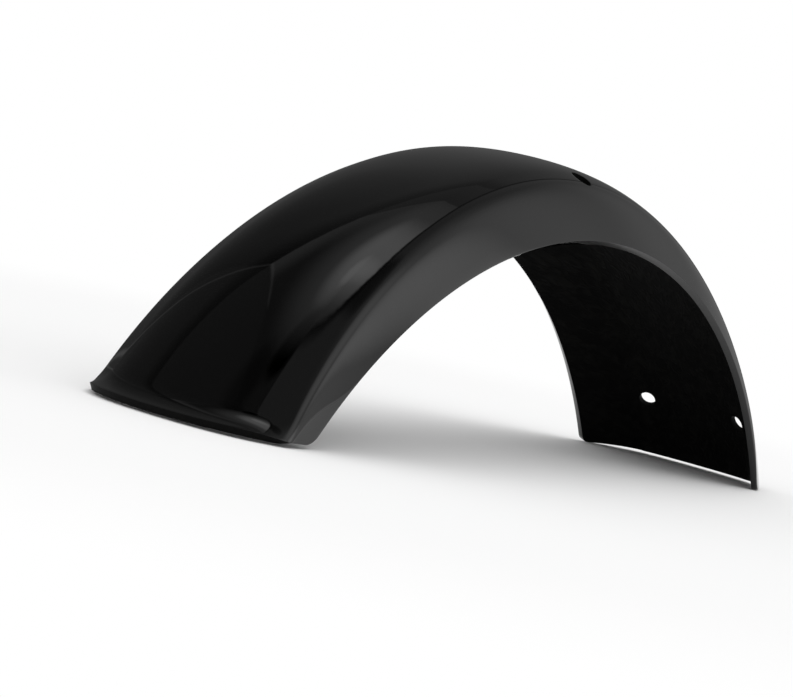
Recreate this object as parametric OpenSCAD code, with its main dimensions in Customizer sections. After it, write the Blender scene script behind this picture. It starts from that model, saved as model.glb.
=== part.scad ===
// A scooter mudguard: one moulded glass-fibre shell that arches over the wheel.
// It stands on its two ends. X runs along it (lip at the low-X end), Y across it, Z up.

/* [Arch] */
// Radius of the crown line, measured from the wheel axle
crown_r = 250; // [210:1:320]
// Angle covered by the crown line, in degrees
arc_deg = 122.6; // [90:0.2:150]
// How far each end leans away from the radial line, as run per unit of depth
front_lean = 0.54; // [0:0.01:1]
// The same lean at the lip end
rear_lean = 0.66; // [0:0.01:1]
// Thickness of the moulded wall
wall = 3; // [2:0.5:6]

/* [Section] */
// Width across the skirts at the front end
front_w = 103; // [80:1:150]
// Width across the skirts half way along
mid_w = 107; // [80:1:150]
// Width across the skirts at the lip end
rear_w = 99; // [80:1:150]
// Depth from the crown line down to the skirt edges at the front end
front_depth = 30.5; // [20:0.5:60]
// Depth half way along
mid_depth = 28.5; // [20:0.5:60]
// Depth at the lip end
rear_depth = 33.5; // [20:0.5:60]

/* [Shoulder line] */
// Distance of the shoulder from the centre line at the front end, as a share of the half width
front_reach = 0.81; // [0.4:0.01:1]
// The same share half way along, where the side panels are widest
mid_reach = 0.66; // [0.4:0.01:1]
// The same share at the lip end, where the side panels are narrow
rear_reach = 1.04; // [0.4:0.01:1.1]
// Drop of the shoulder below the crown line at the front end, as a share of the depth
front_drop = 0.24; // [0.05:0.01:0.9]
// The same share half way along
mid_drop = 0.24; // [0.05:0.01:0.9]
// The same share at the lip end
rear_drop = 0.53; // [0.05:0.01:0.9]
// Sharpness of the shoulder at the front end: 1 is a soft round
front_sharp = 0.5; // [0.3:0.1:10]
// Sharpness half way along
mid_sharp = 4.2; // [0.3:0.1:10]
// Sharpness at the lip end
rear_sharp = 5.4; // [0.3:0.1:10]

/* [Lip] */
// How far the lip turns out from the crown
lip_out = 4; // [0:0.5:12]
// Length of the turned-out lip, measured along the crown
lip_len = 9; // [4:0.5:30]
// Corner radius of the side panels at the lip end
rear_corner = 5; // [1:0.5:15]
// Corner radius of the side panels at the front end
front_corner = 3; // [1:0.5:15]

/* [Bolt holes] */
// Diameter of the two front bolt holes
front_bore_d = 8; // [5:0.1:14]
// Distance between the two front bolt holes, across the part
front_bore_gap = 53; // [25:0.5:80]
// Angle along the crown from the front end to the front bolt holes
front_bore_deg = 7.7; // [5:0.1:20]
// Diameter of the two top bolt holes
top_bore_d = 10; // [5:0.1:14]
// Distance between the two top bolt holes, across the part
top_bore_gap = 58; // [25:0.5:70]
// Angle along the crown from the front end to the top bolt holes
top_bore_deg = 60.5; // [25:0.1:100]

/* [Hidden] */
// Rows along the arch, rows in the lip, and steps over crown and shoulder on each side
rows = 46;
lip_rows = 7;
crown_steps = 6;
side_steps = 13;
lip_share = lip_len / (crown_r * arc_deg * PI / 180);
row_u = concat([for (i = [0 : rows]) (1 - lip_share) * i / rows],
               [for (i = [1 : lip_rows]) 1 - lip_share * (1 - i / lip_rows)]);
// How far the drill for a bolt hole reaches to each side of the outer face
drill_reach = wall * 4;

// A value carried smoothly from front (u = 0) through the middle to the lip (u = 1).
function along(f, m, r, u) = f * (1 - u) * (1 - 2 * u) + 4 * m * u * (1 - u) + r * u * (2 * u - 1);

// One point on a weighted curve from a to c that leans towards b.
function curve(a, b, c, w, t) =
    ((1 - t) * (1 - t) * a + 2 * w * t * (1 - t) * b + t * t * c)
    / ((1 - t) * (1 - t) + 2 * w * t * (1 - t) + t * t);

function half_w(u) = along(front_w, mid_w, rear_w, u) / 2;
function depth(u) = along(front_depth, mid_depth, rear_depth, u);
function shoulder(u) = [along(front_reach, mid_reach, rear_reach, u) * half_w(u),
                        along(front_drop, mid_drop, rear_drop, u) * depth(u)];
function sharp(u) = exp(along(ln(front_sharp), ln(mid_sharp), ln(rear_sharp), u));

// Half section at u as [distance from the centre line, drop below the crown line].
function half_section(u) =
    let (s = shoulder(u),
         start = [s[0] * 0.5, 0],
         join = (start + s) / 2,
         edge = [half_w(u), depth(u)],
         w = sharp(u))
    concat([for (i = [0 : crown_steps]) curve([0, 0], start, join, 1, i / crown_steps)],
           [for (i = [1 : side_steps]) curve(join, s, edge, w, i / side_steps)]);

function outward(h, i) =
    let (d = h[min(i + 1, len(h) - 1)] - h[max(i - 1, 0)], n = [d[1], -d[0]])
    i == 0 ? [0, -1] : n / norm(n);

// Share of the lip's turn-out that a point takes: all of it on the crown, none on the side panel.
function lip_share_at(h, i, s) =
    let (t = (h[i][0] - s[0] * 0.86) / (half_w(1) * 1.02 - s[0] * 0.86))
    1 - min(1, max(0, t * 2.2));

// Length of the rounded corner taken off at distance e from the skirt edge.
function corner_cut(e, r) = e >= r ? 0 : r - sqrt(max(0, r * r - (r - e) * (r - e)));

function outer_point(u, h, i, side) =
    let (s = shoulder(u),
         p = h[i],
         edge_gap = norm(p - h[len(h) - 1]),
         first = front_lean * p[1] / crown_r * 180 / PI
                 + corner_cut(edge_gap, front_corner) / (crown_r - p[1]) * 180 / PI,
         last = arc_deg - rear_lean * p[1] / crown_r * 180 / PI
                - corner_cut(edge_gap, rear_corner) / (crown_r - p[1]) * 180 / PI,
         a = first + (last - first) * u,
         k = max(0, 1 - (1 - u) / lip_share),
         out = lip_out * k * k * lip_share_at(h, i, s),
         q = p + outward(h, i) * out,
         r = crown_r - q[1])
    [r * cos(a), side * q[0], r * sin(a)];

function outer_row(u) =
    let (h = half_section(u), n = len(h))
    concat([for (i = [n - 1 : -1 : 1]) outer_point(u, h, i, -1)],
           [for (i = [0 : n - 1]) outer_point(u, h, i, 1)]);

outer = [for (u = row_u) outer_row(u)];
n_row = len(outer);
n_col = len(outer[0]);

function unit(v) = v / max(1e-9, norm(v));
function normal_at(r, c) =
    unit(cross(outer[r][min(c + 1, n_col - 1)] - outer[r][max(c - 1, 0)],
               outer[min(r + 1, n_row - 1)][c] - outer[max(r - 1, 0)][c]));

inner = [for (r = [0 : n_row - 1]) [for (c = [0 : n_col - 1])
    outer[r][c] - wall * normal_at(r, c)]];

// Roll about the axle that brings both ends down to the same level.
end_pts = [concat(outer[0], inner[0]), concat(outer[n_row - 1], inner[n_row - 1])];
function low(pts, a) = min([for (p = pts) p[0] * sin(a) + p[2] * cos(a)]);
function level(a, b, n) =
    let (m = (a + b) / 2)
    n == 0 ? m : (low(end_pts[0], m) < low(end_pts[1], m) ? level(m, b, n - 1) : level(a, m, n - 1));
roll = level(-20, 80, 40);

flat = concat([for (r = inner) each r], [for (r = outer) each r]);
turned = [for (p = flat) [p[0] * cos(roll) - p[2] * sin(roll), p[1], p[0] * sin(roll) + p[2] * cos(roll)]];
mid_x = (min([for (p = turned) p[0]]) + max([for (p = turned) p[0]])) / 2;
low_z = min([for (p = turned) p[2]]);

function at(layer, r, c) = layer * n_row * n_col + r * n_col + c;

faces = concat(
    [for (r = [0 : n_row - 2], c = [0 : n_col - 2]) each
        [[at(0, r, c), at(0, r, c + 1), at(0, r + 1, c + 1)], [at(0, r, c), at(0, r + 1, c + 1), at(0, r + 1, c)]]],
    [for (r = [0 : n_row - 2], c = [0 : n_col - 2]) each
        [[at(1, r, c), at(1, r + 1, c + 1), at(1, r, c + 1)], [at(1, r, c), at(1, r + 1, c), at(1, r + 1, c + 1)]]],
    [for (c = [0 : n_col - 2]) each
        [[at(0, 0, c), at(1, 0, c), at(1, 0, c + 1)], [at(0, 0, c), at(1, 0, c + 1), at(0, 0, c + 1)]]],
    [for (c = [0 : n_col - 2]) each
        [[at(0, n_row - 1, c), at(1, n_row - 1, c + 1), at(1, n_row - 1, c)],
         [at(0, n_row - 1, c), at(0, n_row - 1, c + 1), at(1, n_row - 1, c + 1)]]],
    [for (r = [0 : n_row - 2]) each
        [[at(0, r, 0), at(1, r + 1, 0), at(1, r, 0)], [at(0, r, 0), at(0, r + 1, 0), at(1, r + 1, 0)]]],
    [for (r = [0 : n_row - 2]) each
        [[at(0, r, n_col - 1), at(1, r, n_col - 1), at(1, r + 1, n_col - 1)],
         [at(0, r, n_col - 1), at(1, r + 1, n_col - 1), at(0, r + 1, n_col - 1)]]]);

// Where a bolt hole goes through: drop and slope of the section at distance y from the centre line.
function drop_at(u, y) = lookup(y, [for (p = half_section(u)) p]);
function slope_at(u, y) = atan((drop_at(u, y + 2) - drop_at(u, y - 2)) / 4);

module bore(a, y, d) {
    u = a / arc_deg;
    r = crown_r - drop_at(u, abs(y));
    tilt = slope_at(u, abs(y)) * sign(y);
    rotate([0, -a, 0])
        translate([r, y, 0])
            rotate([0, 0, tilt])
                rotate([0, 90, 0])
                    cylinder(d = d, h = 2 * drill_reach, center = true, $fn = 48);
}

module mudguard() {
    color([0.04, 0.04, 0.045])
        translate([-mid_x, 0, -low_z])
            rotate([0, -roll, 0])
                difference() {
                    polyhedron(points = flat, faces = faces, convexity = 6);
                    bore(front_bore_deg, front_bore_gap / 2, front_bore_d);
                    bore(front_bore_deg, -front_bore_gap / 2, front_bore_d);
                    bore(top_bore_deg, top_bore_gap / 2, top_bore_d);
                    bore(top_bore_deg, -top_bore_gap / 2, top_bore_d);
                }
}

mudguard();
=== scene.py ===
# %% [markdown]
# # A scooter mudguard in gloss black glass fibre
#
# A mudguard of this kind is one thin shell. It is laid up by hand in a mould: a coat of
# black gelcoat first, then layers of glass-fibre mat in resin. So the outside is as shiny
# as the mould, and the inside keeps the tangle of the mat. The lesson builds the shell as
# one curved sheet, gives it a wall, drills it, and spends most of its effort on the gloss,
# because a black shiny thing is seen almost only by what it reflects.

import math

import bmesh
import bpy
from mathutils import Matrix, Vector


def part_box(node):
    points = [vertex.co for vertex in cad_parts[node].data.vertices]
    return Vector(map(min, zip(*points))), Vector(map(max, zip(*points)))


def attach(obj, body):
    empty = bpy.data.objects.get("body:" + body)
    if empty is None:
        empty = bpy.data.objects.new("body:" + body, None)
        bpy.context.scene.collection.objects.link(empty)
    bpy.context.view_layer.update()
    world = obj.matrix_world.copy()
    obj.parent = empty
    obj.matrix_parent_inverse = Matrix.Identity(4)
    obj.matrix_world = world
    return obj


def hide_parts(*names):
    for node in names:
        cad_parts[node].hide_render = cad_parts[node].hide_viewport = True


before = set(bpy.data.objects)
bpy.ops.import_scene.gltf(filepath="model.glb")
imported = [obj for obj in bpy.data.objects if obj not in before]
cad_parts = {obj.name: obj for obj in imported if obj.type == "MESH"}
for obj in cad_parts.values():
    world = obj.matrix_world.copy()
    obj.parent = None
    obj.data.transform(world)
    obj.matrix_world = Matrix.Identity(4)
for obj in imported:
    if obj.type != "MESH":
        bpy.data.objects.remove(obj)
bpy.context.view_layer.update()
node_low, node_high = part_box("mudguard")

# %% [markdown]
# ## The camera
#
# The photograph was taken with a long lens from the lip end, a little to the near side and
# almost level. The part leans in the picture, and a part that stands on its two ends cannot
# lean, so the camera rolls instead. Distance, lens and roll are written as a photographer
# would note them down.

# %% Set up the camera
aim_point = Vector((-0.0283, 0.0236, 0.0362))
camera_distance = 1.6
camera_azimuth = math.radians(-145.78)
camera_elevation = math.radians(3.7)
camera_roll = math.radians(13.07)
lens_mm = 165.2

camera_data = bpy.data.cameras.new("photo_camera")
camera_data.lens = lens_mm
camera_data.sensor_width = 36
camera_data.clip_start = 0.05
camera = bpy.data.objects.new("photo_camera", camera_data)
bpy.context.scene.collection.objects.link(camera)
to_camera = Vector((
    math.cos(camera_elevation) * math.cos(camera_azimuth),
    math.cos(camera_elevation) * math.sin(camera_azimuth),
    math.sin(camera_elevation),
))
level_view = to_camera.to_track_quat("Z", "Y").to_matrix().to_4x4()
camera.matrix_world = (
    Matrix.Translation(aim_point + to_camera * camera_distance)
    @ level_view
    @ Matrix.Rotation(camera_roll, 4, "Z")
)
bpy.context.scene.camera = camera
print("camera at", [round(c, 3) for c in camera.matrix_world.translation])

# %% [markdown]
# ## The sizes of the shell
#
# The crown line is an arc about the wheel axle. Across it, the section is a soft dome that
# bends down at a shoulder into two side panels. Three sections, at the front end, half way
# and at the lip, say how the dome and the panels change. Everything between them is carried
# smoothly along the arc. All lengths here are millimetres, as on a drawing.

# %% Write down the sizes
crown_radius = 250
arc_degrees = 122.45
wall = 3
skirt_width = (103, 107, 99)
section_depth = (30.5, 28.5, 33.5)
shoulder_reach = (0.81, 0.66, 1.04)
shoulder_drop = (0.24, 0.24, 0.53)
shoulder_sharpness = (0.5, 3.2, 8.0)
front_lean = 0.54
rear_lean = 0.65
front_corner = 3
rear_corner = 5
lip_turn_out = 5
lip_length = 11
lip_share = lip_length / (crown_radius * math.radians(arc_degrees))
print("lip takes", round(100 * lip_share, 2), "percent of the arc")

# %% [markdown]
# ## One section of the dome
#
# A weighted curve is a handy tool here: it runs from one point to another and leans towards
# a third, and its weight says how hard. A weight under 1 gives a lazy round shoulder, as at
# the front end. A weight near 3 gives the firm shoulder half way, and one of 8 the crisp,
# pressed-looking crease near the lip. The same three-point idea, without weights, carries
# every size along the arc. One helper sets the steps closer where the bend is sharp.

# %% Define the section
crown_part = 0.3
bend_crowding = 1.5
almost_one = 0.999999


def along(values, u):
    front, middle, rear = values
    return front * (1 - u) * (1 - 2 * u) + 4 * middle * u * (1 - u) + rear * u * (2 * u - 1)


def leaning_curve(start, pull, end, weight, t):
    a, b, c = (1 - t) ** 2, 2 * weight * t * (1 - t), t * t
    return (a * start + b * pull + c * end) / (a + b + c)


def even_step(share, weight):
    reach = abs(2 * share - 1)
    reach = min(1 - (1 - reach) ** bend_crowding, almost_one)
    ratio = 1 + 2 * weight * reach / (1 - reach)
    return ratio / (1 + ratio) if share > 0.5 else 1 / (1 + ratio)


def section_at(u):
    edge = Vector((along(skirt_width, u) / 2, along(section_depth, u)))
    shoulder = Vector((along(shoulder_reach, u) * edge.x, along(shoulder_drop, u) * edge.y))
    weight = math.exp(along([math.log(s) for s in shoulder_sharpness], u))
    flat_end = Vector((shoulder.x / 2, 0))
    joint = (flat_end + shoulder) / 2
    return flat_end, joint, shoulder, edge, weight


def section_point(section, across):
    flat_end, joint, shoulder, edge, weight = section
    if across <= crown_part:
        return leaning_curve(Vector((0, 0)), flat_end, joint, 1, across / crown_part)
    share = (across - crown_part) / (1 - crown_part)
    if share >= 1:
        return edge.copy()
    return leaning_curve(joint, shoulder, edge, weight, even_step(share, weight))


middle_section = section_at(0.5)
print("middle shoulder at", [round(v, 1) for v in middle_section[2]], "mm from the crown line")

# %% [markdown]
# ## Where a point of the sheet goes
#
# Each end of the shell is cut along a slanted line, so the crown reaches further than the
# skirts, and the four corners are rounded. The last few millimetres of the crown turn out
# as a lip, which stiffens the edge and throws the water off. The turn-out fades away between
# a fifth and two thirds of the way down to the edge, so the side panels stay flat.

# %% Define the place of a point
lip_fade_from = 0.2
lip_fade_over = 0.45
slope_window = 0.002


def corner_cut(gap, radius):
    if gap >= radius:
        return 0
    return radius - math.sqrt(radius ** 2 - (radius - gap) ** 2)


def lip_fade(point, edge):
    share = (point.y / edge.y - lip_fade_from) / lip_fade_over
    share = min(1, max(0, share))
    return 1 - share * share * (3 - 2 * share)


def shell_point(u, across, side):
    section = section_at(u)
    point = section_point(section, across)
    ahead = section_point(section, min(1, across + slope_window))
    behind = section_point(section, max(0, across - slope_window))
    slope = (ahead - behind).normalized()
    out = Vector((slope.y, -slope.x)) if across > 0 else Vector((0, -1))
    gap = (section[3] - point).length
    radius_here = crown_radius - point.y
    first = front_lean * point.y / crown_radius + corner_cut(gap, front_corner) / radius_here
    last = math.radians(arc_degrees) - rear_lean * point.y / crown_radius
    last -= corner_cut(gap, rear_corner) / radius_here
    angle = first + (last - first) * u
    turn = max(0, 1 - (1 - u) / lip_share)
    point = point + out * lip_turn_out * turn ** 2 * lip_fade(point, section[3])
    radius = crown_radius - point.y
    return Vector((radius * math.cos(angle), side * point.x, radius * math.sin(angle)))


print("crown point half way", [round(v, 1) for v in shell_point(0.5, 0, 1)])

# %% [markdown]
# ## The curved sheet
#
# A flat grid is the start. Its rows run across the part and its columns along it, and each
# vertex is then moved to its place on the dome. Shaping a grid keeps the faces in tidy
# rows, and tidy rows matter on a gloss surface: a reflection shows every stray edge. One
# row in twenty-five is kept for the short lip, where the sheet bends most.

# %% Shape the sheet
rows_along = 260
columns_across = 116
lip_rows_share = 0.04
roll_to_floor = math.radians(28.925)


def row_place(share):
    if share < 1 - lip_rows_share:
        return share / (1 - lip_rows_share) * (1 - lip_share)
    return 1 - lip_share * (1 - share) / lip_rows_share


def make_sheet():
    bm = bmesh.new()
    bmesh.ops.create_grid(bm, x_segments=rows_along, y_segments=columns_across, size=0.5)
    turn = Matrix.Rotation(-roll_to_floor, 3, "Y")
    for vert in bm.verts:
        u = row_place(min(1, max(0, vert.co.x + 0.5)))
        across = min(1, abs(vert.co.y) * 2)
        side = 1 if vert.co.y >= 0 else -1
        vert.co = turn @ shell_point(u, across, side) / 1000
    bmesh.ops.recalc_face_normals(bm, faces=bm.faces)
    if sum(face.normal.z * face.calc_area() for face in bm.faces) < 0:
        bmesh.ops.reverse_faces(bm, faces=bm.faces)
    return bm


sheet = make_sheet()
print("sheet", len(sheet.verts), "vertices")

# %% [markdown]
# ## Put the sheet on its mark
#
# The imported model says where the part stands. The sheet gets its wall first, because the
# cut edges reach a little lower than the outer face does. The same modifier gives the inside
# and the rim material slots of their own. The sheet was shaped about the wheel axle, so the
# step that puts it on its mark is also the place of the axle.

# %% Make the shell object
def new_object(name, bm):
    mesh = bpy.data.meshes.new(name)
    bm.to_mesh(mesh)
    bm.free()
    piece = bpy.data.objects.new(name, mesh)
    bpy.context.scene.collection.objects.link(piece)
    return piece


def bake_modifiers(piece):
    graph = bpy.context.evaluated_depsgraph_get()
    baked = bpy.data.meshes.new_from_object(piece.evaluated_get(graph))
    piece.modifiers.clear()
    piece.data = baked


outside_slot = 0
inside_slot = 1
rim_slot = 2
shell = new_object("mudguard_shell", sheet)
thicken = shell.modifiers.new("wall", "SOLIDIFY")
thicken.thickness = wall / 1000
thicken.offset = -1
thicken.use_even_offset = False
thicken.use_quality_normals = True
thicken.material_offset = inside_slot
thicken.material_offset_rim = rim_slot
for _ in (outside_slot, inside_slot, rim_slot):
    shell.data.materials.append(None)
bake_modifiers(shell)

xs = [v.co.x for v in shell.data.vertices]
lowest = min(v.co.z for v in shell.data.vertices)
to_mark = Vector((node_high.x - max(xs), 0, node_low.z - lowest))
axle = to_mark
shell.data.transform(Matrix.Translation(to_mark))
print("moved by", [round(1000 * v, 2) for v in to_mark], "mm")

# %% [markdown]
# ## Round the trimmed edge
#
# A trimmed glass-fibre edge is rubbed down with abrasive paper and feels round to the finger.
# A bevel with a few segments on every edge steeper than 50 degrees finds exactly the rim.
# Only the two ends are trimmed. Along the side panels the mould itself turns the edge in, so
# the gelcoat runs round it: those are the rim faces that look towards the wheel axle.

# %% Bevel the rim
bevel_from_degrees = 50
looks_at_axle = -0.5


def soften_edges(width_mm, segments):
    soften = shell.modifiers.new("rubbed edge", "BEVEL")
    soften.width = width_mm / 1000
    soften.segments = segments
    soften.profile = 0.5
    soften.limit_method = "ANGLE"
    soften.angle_limit = math.radians(bevel_from_degrees)
    soften.use_clamp_overlap = True
    bake_modifiers(shell)


soften_edges(width_mm=1.2, segments=4)
for face in shell.data.polygons:
    from_axle = face.center - axle
    from_axle.y = 0
    turned_in = face.normal.dot(from_axle.normalized()) < looks_at_axle
    if face.material_index == rim_slot and turned_in:
        face.material_index = outside_slot
print("shell", len(shell.data.polygons), "faces with a rounded rim")

# %% [markdown]
# ## Bolt holes
#
# Two screws hold the front end and two go through the top, one on each side of the crown
# line. Each hole is drilled square to the surface, so its direction comes from the section's
# slope at that spot. A drill is a plain cylinder, and a Boolean takes it out of the shell.
# The cylinder carries the rim's material slot, so the wall of each hole gets the cut edge.

# %% Drill the holes
front_hole_d = 8
front_hole_gap = 53
front_hole_degrees = 7.7
top_hole_d = 10
top_hole_gap = 58
top_hole_degrees = 60.5
drill_length = 20
slope_step = 2
smooth_up_to_degrees = 40


def drop_at(section, distance):
    low, high = 0.0, 1.0
    for _ in range(30):
        middle = (low + high) / 2
        if section_point(section, middle).x < distance:
            low = middle
        else:
            high = middle
    return section_point(section, low).y


def drill(degrees, distance, diameter):
    section = section_at(degrees / arc_degrees)
    reach = abs(distance)
    drop = drop_at(section, reach)
    fall = drop_at(section, reach + slope_step) - drop_at(section, reach - slope_step)
    tilt = math.atan2(fall, 2 * slope_step)
    angle = math.radians(degrees) + roll_to_floor
    bm = bmesh.new()
    radius = diameter / 2 / 1000
    bmesh.ops.create_cone(
        bm, cap_ends=True, segments=64, radius1=radius, radius2=radius, depth=drill_length / 1000
    )
    for face in bm.faces:
        face.material_index = rim_slot
    place = (
        Matrix.Translation(to_mark)
        @ Matrix.Rotation(-angle, 4, "Y")
        @ Matrix.Translation(Vector((crown_radius - drop, distance, 0)) / 1000)
        @ Matrix.Rotation(math.copysign(tilt, distance), 4, "Z")
        @ Matrix.Rotation(math.pi / 2, 4, "Y")
    )
    bmesh.ops.transform(bm, matrix=place, verts=bm.verts)
    cutter = new_object("drill", bm)
    cut = shell.modifiers.new("hole", "BOOLEAN")
    cut.operation = "DIFFERENCE"
    cut.solver = "EXACT"
    cut.object = cutter
    bake_modifiers(shell)
    bpy.data.objects.remove(cutter)


for side in (-1, 1):
    drill(front_hole_degrees, side * front_hole_gap / 2, front_hole_d)
    drill(top_hole_degrees, side * top_hole_gap / 2, top_hole_d)
soften_edges(width_mm=0.25, segments=2)
for face in shell.data.polygons:
    face.use_smooth = True
shell.data.set_sharp_from_angle(angle=math.radians(smooth_up_to_degrees))
print("shell", len(shell.data.polygons), "faces after drilling")

# %% [markdown]
# ## Colours and nodes
#
# Colours are written as the hex values a screen shows and turned to the linear values that
# the renderer works in. One small helper adds a node with its settings and its links.

# %% Define the helpers
def linear(hex_colour):
    values = []
    for i in (0, 2, 4):
        c = int(hex_colour[i:i + 2], 16) / 255
        values.append(c / 12.92 if c <= 0.04045 else ((c + 0.055) / 1.055) ** 2.4)
    return (*values, 1)


def add_node(tree, kind, settings=None, inputs=None, links=None):
    node = tree.nodes.new(kind)
    for name, value in (settings or {}).items():
        setattr(node, name, value)
    for name, value in (inputs or {}).items():
        node.inputs[name].default_value = value
    for name, source in (links or {}).items():
        tree.links.new(source, node.inputs[name])
    return node


def new_material(name):
    material = bpy.data.materials.new(name)
    material.use_nodes = True
    tree = material.node_tree
    tree.nodes.clear()
    return material, tree


print("black", [round(c, 4) for c in linear("141414")[:3]])

# %% [markdown]
# ## Black polyester gelcoat
#
# Gelcoat is a pigmented resin skin that copies a polished mould. It is black right through,
# with an IOR near 1.5, and very smooth, but never quite flat: the mat behind it pulls the
# skin into waves a few centimetres long and some hundredths of a millimetre high. They are
# too low to see, and yet they bend every reflection. Two noise patterns give them: the long
# waves, 45 mm apart, and a far lower ripple, 9 mm apart. Lengths in materials are in metres.

# %% Make the gelcoat
wave_length = 0.045
wave_height = 0.00018
ripple_length = 0.009
ripple_height = 0.000012


def make_gelcoat():
    material, tree = new_material("black_polyester_gelcoat")
    place = add_node(tree, "ShaderNodeTexCoord")
    waves = add_node(
        tree, "ShaderNodeTexNoise",
        inputs={"Scale": 1 / wave_length, "Detail": 1.0, "Roughness": 0.4},
        links={"Vector": place.outputs["Object"]},
    )
    ripple = add_node(
        tree, "ShaderNodeTexNoise",
        inputs={"Scale": 1 / ripple_length, "Detail": 2.0, "Roughness": 0.5},
        links={"Vector": place.outputs["Object"]},
    )
    bend = add_node(
        tree, "ShaderNodeBump",
        inputs={"Strength": 1.0, "Distance": wave_height},
        links={"Height": waves.outputs["Fac"]},
    )
    bend_more = add_node(
        tree, "ShaderNodeBump",
        inputs={"Strength": 1.0, "Distance": ripple_height},
        links={"Height": ripple.outputs["Fac"], "Normal": bend.outputs["Normal"]},
    )
    haze = add_node(
        tree, "ShaderNodeMapRange",
        inputs={"From Min": 0.3, "From Max": 0.7, "To Min": 0.02, "To Max": 0.035},
        links={"Value": waves.outputs["Fac"]},
    )
    shader = add_node(
        tree, "ShaderNodeBsdfPrincipled",
        inputs={"Base Color": linear("050505"), "IOR": 1.5},
        links={"Roughness": haze.outputs["Result"], "Normal": bend_more.outputs["Normal"]},
    )
    add_node(tree, "ShaderNodeOutputMaterial", links={"Surface": shader.outputs["BSDF"]})
    return material


gelcoat = make_gelcoat()
print("made", gelcoat.name)

# %% [markdown]
# ## Chopped strand mat in black resin
#
# Inside, the last layer of mat shows: bundles of glass about a millimetre wide and some
# centimetres long, lying every way, soaked in black resin. Such thin bundles would not show
# in the render, so they are drawn 5 mm wide. One noise, stretched eight times along one
# direction, looks like bundles that all lie that way. Four of them, turned against each
# other, give the tangle. The resin has hardly any shine, because it set against the air.

# %% Make the fibre side
bundle_length = 0.04
bundle_width = 0.005
bundle_height = 0.0005
bundle_turns = (12, 57, 103, 151)


def make_fibre_side():
    material, tree = new_material("glass_fibre_mat_in_black_resin")
    place = add_node(tree, "ShaderNodeTexCoord")
    bundles = None
    for i, degrees in enumerate(bundle_turns):
        turned = add_node(
            tree, "ShaderNodeMapping",
            inputs={
                "Rotation": (math.radians(20 * i), math.radians(degrees), math.radians(35 * i)),
                "Scale": (1 / bundle_length, 1 / bundle_width, 1 / bundle_width),
            },
            links={"Vector": place.outputs["Object"]},
        )
        strands = add_node(
            tree, "ShaderNodeTexNoise",
            inputs={"Scale": 1.0, "Detail": 2.0, "Roughness": 0.5, "Distortion": 0.6},
            links={"Vector": turned.outputs["Vector"]},
        )
        ridge = add_node(
            tree, "ShaderNodeMapRange",
            settings={"interpolation_type": "SMOOTHSTEP"},
            inputs={"From Min": 0.5, "From Max": 0.75},
            links={"Value": strands.outputs["Fac"]},
        )
        if bundles is None:
            bundles = ridge.outputs["Result"]
        else:
            mix = add_node(tree, "ShaderNodeMath", settings={"operation": "MAXIMUM"})
            tree.links.new(bundles, mix.inputs[0])
            tree.links.new(ridge.outputs["Result"], mix.inputs[1])
            bundles = mix.outputs[0]
    bump = add_node(
        tree, "ShaderNodeBump",
        inputs={"Strength": 0.6, "Distance": bundle_height},
        links={"Height": bundles},
    )
    tone = add_node(
        tree, "ShaderNodeMix",
        settings={"data_type": "RGBA"},
        inputs={"A": linear("080808"), "B": linear("111110")},
        links={"Factor": bundles},
    )
    shader = add_node(
        tree, "ShaderNodeBsdfPrincipled",
        inputs={"IOR": 1.5, "Roughness": 0.6, "Specular IOR Level": 0.06},
        links={"Base Color": tone.outputs["Result"], "Normal": bump.outputs["Normal"]},
    )
    add_node(tree, "ShaderNodeOutputMaterial", links={"Surface": shader.outputs["BSDF"]})
    return material


fibre_side = make_fibre_side()
print("made", fibre_side.name)

# %% [markdown]
# ## The cut edge
#
# Where the shell was trimmed and drilled, the laminate shows: black resin and glass, rubbed
# dull, with fine scratches from the abrasive paper about a millimetre apart.

# %% Make the cut edge
scratch_gap = 0.0012
scratch_depth = 0.00006


def make_cut_edge():
    material, tree = new_material("rubbed_laminate_edge")
    place = add_node(tree, "ShaderNodeTexCoord")
    scratch = add_node(
        tree, "ShaderNodeTexNoise",
        inputs={"Scale": 1 / scratch_gap, "Detail": 3.0},
        links={"Vector": place.outputs["Object"]},
    )
    tone = add_node(
        tree, "ShaderNodeMix",
        settings={"data_type": "RGBA"},
        inputs={"A": linear("050505"), "B": linear("0c0c0b")},
        links={"Factor": scratch.outputs["Fac"]},
    )
    bump = add_node(
        tree, "ShaderNodeBump",
        inputs={"Strength": 0.4, "Distance": scratch_depth},
        links={"Height": scratch.outputs["Fac"]},
    )
    shader = add_node(
        tree, "ShaderNodeBsdfPrincipled",
        inputs={"IOR": 1.5, "Roughness": 0.5, "Specular IOR Level": 0.05},
        links={"Base Color": tone.outputs["Result"], "Normal": bump.outputs["Normal"]},
    )
    add_node(tree, "ShaderNodeOutputMaterial", links={"Surface": shader.outputs["BSDF"]})
    return material


cut_edge = make_cut_edge()
shell.data.materials[outside_slot] = gelcoat
shell.data.materials[inside_slot] = fibre_side
shell.data.materials[rim_slot] = cut_edge
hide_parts("mudguard")
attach(shell, "root")
for slot_number, material in enumerate(shell.data.materials):
    face_count = sum(face.material_index == slot_number for face in shell.data.polygons)
    print(material.name, face_count, "faces")

# %% [markdown]
# ## The floor
#
# A round table top covered with white paper. It is matte, so the part keeps a soft shadow
# and no mirror image. Around the part the paper shows its own white with the shadow on it.
# Further out, rays that come straight from the camera, or off a shiny or clear surface, see
# a plain white of strength 1, so the paper runs into the background without an edge.

# %% Lay the floor
table_radius = 0.9
shadow_radius = 0.36
white_from_radius = 0.62

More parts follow.
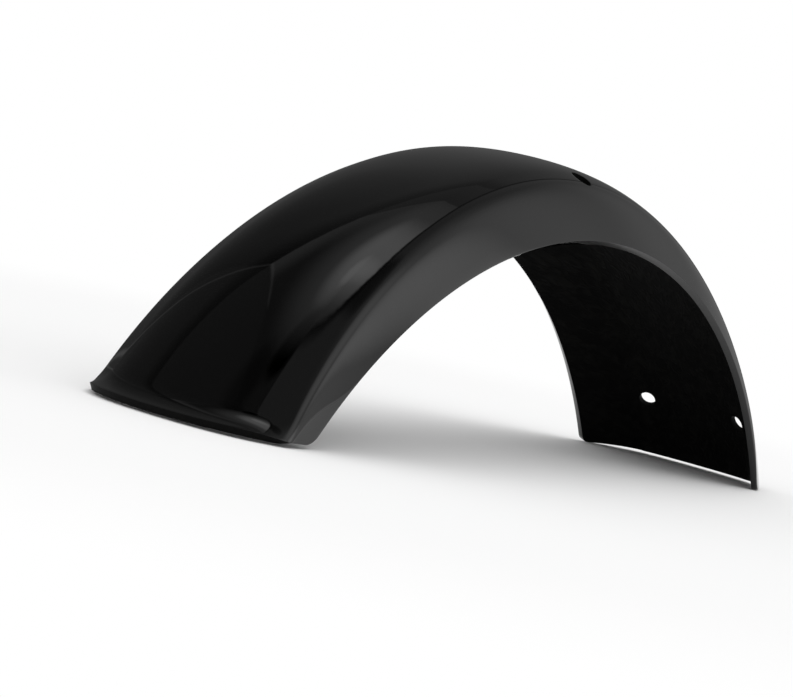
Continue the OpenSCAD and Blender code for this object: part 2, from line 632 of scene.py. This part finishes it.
floor_bm = bmesh.new()
bmesh.ops.create_circle(floor_bm, cap_ends=True, segments=96, radius=table_radius)
floor = new_object("floor", floor_bm)
paper, paper_tree = new_material("matte_white_paper")
paper_shader = add_node(
    paper_tree, "ShaderNodeBsdfPrincipled",
    inputs={"Base Color": linear("fafafa"), "Roughness": 0.9, "Specular IOR Level": 0.1},
)
paper_place = add_node(paper_tree, "ShaderNodeTexCoord")
from_middle = add_node(
    paper_tree, "ShaderNodeVectorMath",
    settings={"operation": "LENGTH"},
    links={0: paper_place.outputs["Object"]},
)
far_out = add_node(
    paper_tree, "ShaderNodeMapRange",
    settings={"interpolation_type": "SMOOTHSTEP"},
    inputs={"From Min": shadow_radius, "From Max": white_from_radius},
    links={"Value": from_middle.outputs["Value"]},
)
paper_rays = add_node(paper_tree, "ShaderNodeLightPath")
looking = paper_rays.outputs["Is Camera Ray"]
for kind in ("Is Glossy Ray", "Is Transmission Ray"):
    either = add_node(
        paper_tree, "ShaderNodeMath",
        settings={"operation": "MAXIMUM"},
        links={0: looking, 1: paper_rays.outputs[kind]},
    )
    looking = either.outputs[0]
plain_white = add_node(
    paper_tree, "ShaderNodeMath",
    settings={"operation": "MULTIPLY"},
    links={0: far_out.outputs["Result"], 1: looking},
)
white = add_node(paper_tree, "ShaderNodeEmission", inputs={"Strength": 1.0})
paper_mix = add_node(
    paper_tree, "ShaderNodeMixShader",
    links={0: plain_white.outputs[0], 1: paper_shader.outputs["BSDF"], 2: white.outputs[0]},
)
add_node(paper_tree, "ShaderNodeOutputMaterial", links={"Surface": paper_mix.outputs[0]})
floor.data.materials.append(paper)
print("table", 2 * table_radius, "m across")

# %% [markdown]
# ## The studio that the gloss reflects
#
# A photographer lights black gloss by choosing what it mirrors, because it shows little else.
# The world holds that room by direction alone, which costs nothing to render. A direction is
# given as an azimuth, from +X towards +Y, and an elevation. Two shapes are enough: a round
# glow that fades outwards, and a straight edge, where a board or a curtain begins.
#
# A glow takes its azimuth and elevation, the angle up to which it is full, the angle at which
# it is gone, and its strength. A strength below zero takes light away, as something dark that
# hangs there does. A straight edge takes the direction it faces and a shift in degrees.

# %% Define a glow and a straight edge
edge_softness = 0.25
world = bpy.data.worlds.new("studio")
bpy.context.scene.world = world
world.use_nodes = True
room = world.node_tree
room.nodes.clear()
room_place = add_node(room, "ShaderNodeTexCoord")
direction = room_place.outputs["Generated"]


def toward(azimuth, elevation):
    a, e = math.radians(azimuth), math.radians(elevation)
    return Vector((math.cos(e) * math.cos(a), math.cos(e) * math.sin(a), math.sin(e)))


def fade_along(axis, start, end, low=0.0, high=1.0):
    facing = add_node(
        room, "ShaderNodeVectorMath", settings={"operation": "DOT_PRODUCT"}, links={0: direction}
    )
    facing.inputs[1].default_value = axis
    fade = add_node(
        room, "ShaderNodeMapRange",
        settings={"interpolation_type": "SMOOTHSTEP"},
        inputs={"From Min": start, "From Max": end, "To Min": low, "To Max": high},
        links={"Value": facing.outputs["Value"]},
    )
    return fade.outputs["Result"]


def glow(azimuth, elevation, full_degrees, none_degrees, strength):
    edge = math.cos(math.radians(none_degrees))
    middle = math.cos(math.radians(full_degrees))
    return fade_along(toward(azimuth, elevation), edge, middle, 0.0, strength)


def sine(degrees):
    return math.sin(math.radians(degrees))


def straight_edge(axis, degrees):
    start, end = sine(degrees - edge_softness), sine(degrees + edge_softness)
    return fade_along(Vector(axis).normalized(), start, end)


def combine(operation, parts):
    total = parts[0]
    for part in parts[1:]:
        step = add_node(
            room, "ShaderNodeMath", settings={"operation": operation}, links={0: total, 1: part}
        )
        total = step.outputs[0]
    return total


print("lamp overhead points", [round(v, 3) for v in toward(-57, 85.6)])

# %% [markdown]
# ## The dark half of the room
#
# Behind the part the room is dark, and a lamp hangs nearly straight above. Three boards cut
# its glow off in straight lines, which is why the crown shows one crisp pale shape. The rim
# of the front board catches a little light and gives a thin grey line. A little light also
# comes back from the far wall, on which a strip of pale tape gives a second thin line.

# %% Build the dark half
board_side = (-0.522, -0.684, 0.509)
board_back = (-0.834, -0.320, 0.450)
board_front = (0.599, -0.642, 0.478)
side_board_shift = 0.3
back_board_shift = 2.0
front_board_shift = 1.2
board_rim_shift = 1.6
tape_shift = -46.5
line_half_width = 0.5
tape_axis = Vector((-0.696, -0.362, -0.621)).normalized()
wall_axis = Vector((-0.889, 0.367, -0.273))
dark_air_strength = 0.068


def bright_line(axis, degrees, half_width, strength):
    rise = fade_along(axis, sine(degrees - half_width), sine(degrees), 0.0, strength)
    fall = fade_along(axis, sine(degrees + half_width), sine(degrees))
    return combine("MULTIPLY", [rise, fall])


boards = combine("MULTIPLY", [
    straight_edge(board_side, side_board_shift),
    straight_edge(board_back, back_board_shift),
    straight_edge(board_front, front_board_shift),
])
past_boards = add_node(
    room, "ShaderNodeMath", settings={"operation": "SUBTRACT"}, inputs={0: 1.0}, links={1: boards}
)
side_axis = Vector(board_side).normalized()
front_axis = Vector(board_front).normalized()
top_lamp = combine("ADD", [
    glow(-57, 85.6, 0, 16.5, 0.76),
    glow(-45, 84.5, 0, 31.5, 0.363),
    glow(-98, 83.5, 0, 6, 0.55),
    fade_along(side_axis, sine(9), sine(1), 0.0, 0.13),
    glow(-150, 67, 4, 11, -0.11),
])
board_rim = combine("MULTIPLY", [
    bright_line(front_axis, board_rim_shift, line_half_width, 0.11),
    fade_along(wall_axis, sine(7), sine(5)),
    straight_edge(board_side, side_board_shift),
])
far_wall = combine("ADD", [
    glow(10, 40, 2, 56, 0.081),
    fade_along(wall_axis, -0.01, 0.01, 0.0, 0.016),
    combine("MULTIPLY", [
        fade_along(side_axis, sine(-7), sine(-0.3), 0.0, -0.042),
        fade_along(side_axis, sine(0.6), sine(0.3)),
    ]),
    bright_line(tape_axis, tape_shift, line_half_width, 0.10),
])
dim_air = add_node(room, "ShaderNodeValue")
dim_air.outputs[0].default_value = dark_air_strength
dark_half = combine("ADD", [
    dim_air.outputs[0],
    combine("MULTIPLY", [top_lamp, boards]),
    combine("MULTIPLY", [far_wall, past_boards.outputs[0]]),
    board_rim,
    glow(176, 58, 3, 13, -0.042),
    glow(55, 41, 3, 15, -0.02),
])
print("dark half ready")

# %% [markdown]
# ## The bright half
#
# On the near side a large white screen stands upright, with a lamp close behind it. The side
# panel mirrors it from end to end: brightest where the lamp is, softer above and below. The
# screen starts dim right under the curtain that parts the two halves, and brightens within
# a degree, which draws the thin dark line along the shoulder.

# %% Build the bright half and join the two
curtain_axis = Vector((-0.417, 0.917, 0.175)).normalized()
curtain_shift = -0.05
screen_top = combine("MULTIPLY", [
    fade_along(curtain_axis, sine(-0.3), sine(-1.3), 0.05, 0.19),
    fade_along(toward(-88, 75), sine(79), sine(85), 1.0, 0.3),
])
bright_half = combine("ADD", [
    screen_top,
    fade_along(curtain_axis, sine(-9), sine(-22), 0.0, -0.09),
    glow(-65, 23, 2, 56, 0.535),
    glow(-47, 25, 6, 18, 0.82),
    glow(-84, 38, 0, 24, 0.45),
    glow(-25, 17, 4, 38, 0.32),
])
curtain = straight_edge(curtain_axis, curtain_shift)
halves = add_node(
    room, "ShaderNodeMix",
    links={"Factor": curtain, "A": bright_half, "B": dark_half},
)
print("curtain runs square to", [round(v, 3) for v in curtain_axis])

# %% [markdown]
# ## What each ray sees
#
# Rays from the camera, and rays through something clear, see plain white. A mirrored ray sees
# the room, or the gloss would turn into a flat white, except where it dips below the table's
# edge: there it sees the white paper go on. Dull surfaces gather their light from the whole
# room at once, so they get one even level, and the paper and the inside of the shell don't
# depend on the boards. One lamp above, hidden from reflections, gives the soft shadow and
# lights the paper to its own white.

# %% Show white to the camera and hang the lamp
table_edge_from = -0.06
table_edge_to = -0.16
even_light = 0.84

rays = add_node(room, "ShaderNodeLightPath")
below_table = fade_along(Vector((0, 0, 1)), table_edge_from, table_edge_to)
white_rays = combine("MAXIMUM", [
    rays.outputs["Is Camera Ray"],
    rays.outputs["Is Transmission Ray"],
    combine("MULTIPLY", [rays.outputs["Is Glossy Ray"], below_table]),
])
seen = add_node(
    room, "ShaderNodeMix",
    inputs={"B": even_light},
    links={"Factor": rays.outputs["Is Diffuse Ray"], "A": halves.outputs["Result"]},
)
mirrored = add_node(
    room, "ShaderNodeBackground",
    inputs={"Color": (1, 1, 1, 1)},
    links={"Strength": seen.outputs["Result"]},
)
plain = add_node(
    room, "ShaderNodeBackground", inputs={"Color": (1, 1, 1, 1), "Strength": 1.0}
)
either_view = add_node(
    room, "ShaderNodeMixShader", links={0: white_rays, 1: mirrored.outputs[0], 2: plain.outputs[0]}
)
add_node(room, "ShaderNodeOutputWorld", links={"Surface": either_view.outputs[0]})


def soft_lamp(name, place, aim, size, watts):
    data = bpy.data.lights.new(name, "AREA")
    data.shape = "RECTANGLE"
    data.size, data.size_y = size
    data.energy = watts
    lamp = bpy.data.objects.new(name, data)
    bpy.context.scene.collection.objects.link(lamp)
    look = (Vector(aim) - Vector(place)).to_track_quat("-Z", "Y")
    lamp.matrix_world = Matrix.Translation(Vector(place)) @ look.to_matrix().to_4x4()
    lamp.visible_glossy = False
    return lamp


soft_lamp(
    "overhead_softbox", place=(0.1, -0.2, 1.8), aim=(0, 0, 0.05), size=(2.2, 2.2), watts=9.8
)
bpy.context.scene.view_settings.view_transform = "Standard"
print("studio lit")
